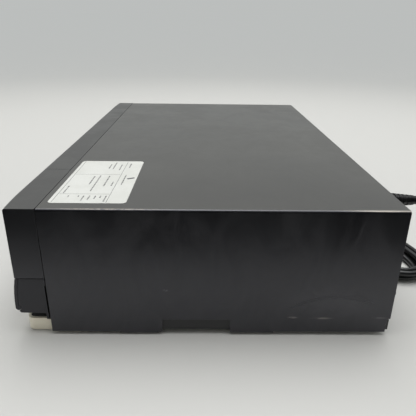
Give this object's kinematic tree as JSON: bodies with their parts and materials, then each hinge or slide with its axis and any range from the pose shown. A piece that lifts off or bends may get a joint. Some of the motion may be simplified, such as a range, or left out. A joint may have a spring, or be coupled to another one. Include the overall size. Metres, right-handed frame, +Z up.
{
  "type": "video cassette recorder",
  "caption": "Full-width front-loading video cassette recorder: steel cover over a tape deck with head drum, loader, boards, keys, flap and power cord.",
  "frame": {"origin": "on the floor under the middle of the recorder, cord left out", "axes": "+X to the recorder's right as seen from in front, +Y to its rear, +Z up"},
  "size_m": [0.43, 0.3537, 0.099],
  "materials": {
    "cover_paint": "satin charcoal paint on sheet steel",
    "front_plastic": "fine-textured charcoal moulding",
    "flap_plastic": "fine-textured charcoal moulding",
    "key_plastic": "smooth dark grey keys",
    "window_tint": "smoked acrylic window",
    "chassis_steel": "black coated steel",
    "silver_trim": "champagne silver foot band",
    "foot_rubber": "matt black rubber and plastic",
    "black_plastic": "plain black plastic",
    "cord_jacket": "satin black vinyl jacket",
    "bright_screw": "zinc plated",
    "black_screw": "black plated screw",
    "board_green": "printed board with solder mask",
    "board_tan": "paper-based power board",
    "tin_shield": "tinned steel shield",
    "deck_steel": "zinc coated deck steel",
    "drum_alloy": "turned aluminium alloy",
    "polished_steel": "ground and polished steel",
    "nylon": "natural nylon",
    "reel_plastic": "black acetal",
    "head_block": "head block"
  },
  "bodies": {
    "casing": {"top_cover": "cover_paint", "cover_screws": "black_screw", "base_chassis": "chassis_steel", "rear_panel": "chassis_steel", "front_panel": "front_plastic", "front_end_left": "front_plastic", "front_end_right": "front_plastic", "lower_panel": "front_plastic", "display_window": "window_tint", "display_board": "board_green", "key_board": "board_green", "lower_key_board": "board_green", "front_feet": "silver_trim", "front_foot_cores": "foot_rubber", "rear_feet": "foot_rubber", "main_board": "board_green", "power_supply": "board_tan", "tuner_box": "tin_shield", "rear_jacks": "black_plastic", "deck_plate": "deck_steel", "deck_screws": "bright_screw", "drum_base": "drum_alloy", "capstan_stator": "board_green", "loading_motor": "tin_shield", "erase_head": "head_block", "sound_head": "head_block", "loader_frame": "deck_steel", "strain_relief": "cord_jacket", "power_cord": "cord_jacket", "cord_hank": "cord_jacket", "plug": "cord_jacket", "cord_tie": "black_plastic"},
    "cassette_door": {"cassette_door": "flap_plastic", "door_spring": "polished_steel"},
    "lower_flap": {"lower_flap": "flap_plastic"},
    "power_button": {"power_button": "key_plastic"},
    "eject_button": {"eject_button": "key_plastic"},
    "rewind_button": {"rewind_button": "key_plastic"},
    "play_button": {"play_button": "key_plastic"},
    "forward_button": {"forward_button": "key_plastic"},
    "stop_button": {"stop_button": "key_plastic"},
    "record_button": {"record_button": "key_plastic"},
    "pause_button": {"pause_button": "key_plastic"},
    "channel_up_button": {"channel_up_button": "key_plastic"},
    "channel_down_button": {"channel_down_button": "key_plastic"},
    "loader_slider": {"loader_slider": "black_plastic"},
    "cassette_holder": {"cassette_holder": "deck_steel"},
    "drum_rotor": {"drum_rotor": "drum_alloy"},
    "capstan": {"capstan": "polished_steel"},
    "supply_reel": {"supply_reel": "reel_plastic"},
    "takeup_reel": {"takeup_reel": "reel_plastic"},
    "idler_arm": {"idler_arm": "nylon"},
    "idler_gear": {"idler_gear": "nylon"},
    "tension_arm": {"tension_arm": "deck_steel"},
    "mode_cam": {"mode_cam": "nylon"},
    "loading_worm": {"loading_worm": "nylon"},
    "pinch_arm": {"pinch_arm": "deck_steel"},
    "pinch_roller": {"pinch_roller": "foot_rubber"},
    "takeup_guide": {"takeup_guide": "polished_steel"},
    "supply_guide": {"supply_guide": "polished_steel"}
  },
  "joints": [
    {"name": "cassette_door_hinge", "type": "hinge", "parent": "casing", "child": "cassette_door", "pos_m": [0, -0.13137, 0.094], "axis": [1, 0, 0], "range_deg": [0, 86], "stiffness_Nm_per_rad": 0.006, "springref_deg": -34.38},
    {"name": "lower_flap_hinge", "type": "hinge", "parent": "casing", "child": "lower_flap", "pos_m": [0, -0.13712, 0.0229], "axis": [1, 0, 0], "range_deg": [0, 90]},
    {"name": "power_press", "type": "slide", "parent": "casing", "child": "power_button", "axis": [0, 1, 0], "range_m": [0, 0.0012], "stiffness_N_per_m": 400, "springref_m": -0.0004},
    {"name": "eject_press", "type": "slide", "parent": "casing", "child": "eject_button", "axis": [0, 1, 0], "range_m": [0, 0.0012], "stiffness_N_per_m": 400, "springref_m": -0.0004},
    {"name": "rewind_press", "type": "slide", "parent": "casing", "child": "rewind_button", "axis": [0, 1, 0], "range_m": [0, 0.0012], "stiffness_N_per_m": 400, "springref_m": -0.0004},
    {"name": "play_press", "type": "slide", "parent": "casing", "child": "play_button", "axis": [0, 1, 0], "range_m": [0, 0.0012], "stiffness_N_per_m": 400, "springref_m": -0.0004},
    {"name": "forward_press", "type": "slide", "parent": "casing", "child": "forward_button", "axis": [0, 1, 0], "range_m": [0, 0.0012], "stiffness_N_per_m": 400, "springref_m": -0.0004},
    {"name": "stop_press", "type": "slide", "parent": "casing", "child": "stop_button", "axis": [0, 1, 0], "range_m": [0, 0.0012], "stiffness_N_per_m": 400, "springref_m": -0.0004},
    {"name": "record_press", "type": "slide", "parent": "casing", "child": "record_button", "axis": [0, 1, 0], "range_m": [0, 0.0012], "stiffness_N_per_m": 400, "springref_m": -0.0004},
    {"name": "pause_press", "type": "slide", "parent": "casing", "child": "pause_button", "axis": [0, 1, 0], "range_m": [0, 0.0012], "stiffness_N_per_m": 400, "springref_m": -0.0004},
    {"name": "channel_up_press", "type": "slide", "parent": "casing", "child": "channel_up_button", "axis": [0, 1, 0], "range_m": [0, 0.0012], "stiffness_N_per_m": 400, "springref_m": -0.0004},
    {"name": "channel_down_press", "type": "slide", "parent": "casing", "child": "channel_down_button", "axis": [0, 1, 0], "range_m": [0, 0.0012], "stiffness_N_per_m": 400, "springref_m": -0.0004},
    {"name": "loader_slide", "type": "slide", "parent": "casing", "child": "loader_slider", "axis": [0, 1, 0], "range_m": [0, 0.06]},
    {"name": "holder_drop", "type": "slide", "parent": "loader_slider", "child": "cassette_holder", "axis": [0, 0, -1], "range_m": [0, 0.017]},
    {"name": "drum_spin", "type": "hinge", "parent": "casing", "child": "drum_rotor", "pos_m": [0, 0.05063, 0.0401], "axis": [0.1028, 0, 0.9947], "continuous": true},
    {"name": "capstan_spin", "type": "hinge", "parent": "casing", "child": "capstan", "pos_m": [0.066, 0.01562, 0.0356], "axis": [0, 0, 1], "continuous": true},
    {"name": "supply_reel_spin", "type": "hinge", "parent": "casing", "child": "supply_reel", "pos_m": [-0.045, -0.05137, 0.0356], "axis": [0, 0, 1], "continuous": true},
    {"name": "takeup_reel_spin", "type": "hinge", "parent": "casing", "child": "takeup_reel", "pos_m": [0.045, -0.05137, 0.0356], "axis": [0, 0, 1], "continuous": true},
    {"name": "idler_swing", "type": "hinge", "parent": "casing", "child": "idler_arm", "pos_m": [0, -0.07437, 0.0356], "axis": [0, 0, 1], "range_deg": [-23, 23]},
    {"name": "idler_gear_spin", "type": "hinge", "parent": "idler_arm", "child": "idler_gear", "pos_m": [0, -0.03637, 0.0356], "axis": [0, 0, 1], "continuous": true},
    {"name": "tension_arm_swing", "type": "hinge", "parent": "casing", "child": "tension_arm", "pos_m": [-0.074, -0.00537, 0.0356], "axis": [0, 0, 1], "range_deg": [0, 30], "stiffness_Nm_per_rad": 0.002, "springref_deg": -17.19},
    {"name": "mode_cam_turn", "type": "hinge", "parent": "casing", "child": "mode_cam", "pos_m": [-0.086, 0.05362, 0.0356], "axis": [0, 0, 1], "range_deg": [0, 300]},
    {"name": "loading_worm_spin", "type": "hinge", "parent": "casing", "child": "loading_worm", "pos_m": [-0.1065, 0.05362, 0.04], "axis": [0, 1, 0], "continuous": true},
    {"name": "pinch_arm_swing", "type": "hinge", "parent": "casing", "child": "pinch_arm", "pos_m": [0.092, 0.01362, 0.0356], "axis": [0, 0, -1], "range_deg": [0, 45]},
    {"name": "pinch_roller_spin", "type": "hinge", "parent": "pinch_arm", "child": "pinch_roller", "pos_m": [0.08014, 0.00008, 0.0356], "axis": [0, 0, 1], "continuous": true},
    {"name": "takeup_guide_slide", "type": "slide", "parent": "casing", "child": "takeup_guide", "axis": [-0.1815, 0.9834, 0], "range_m": [0, 0.066]},
    {"name": "supply_guide_slide", "type": "slide", "parent": "casing", "child": "supply_guide", "axis": [0.1815, 0.9834, 0], "range_m": [0, 0.066]}
  ],
  "couplings": [
    {"joint": "takeup_guide_slide", "follows": "mode_cam_turn", "m_per_rad": 0.012605},
    {"joint": "supply_guide_slide", "follows": "mode_cam_turn", "m_per_rad": 0.012605},
    {"joint": "pinch_arm_swing", "follows": "mode_cam_turn", "ratio": 0.15},
    {"joint": "loading_worm_spin", "follows": "mode_cam_turn", "ratio": 20}
  ]
}
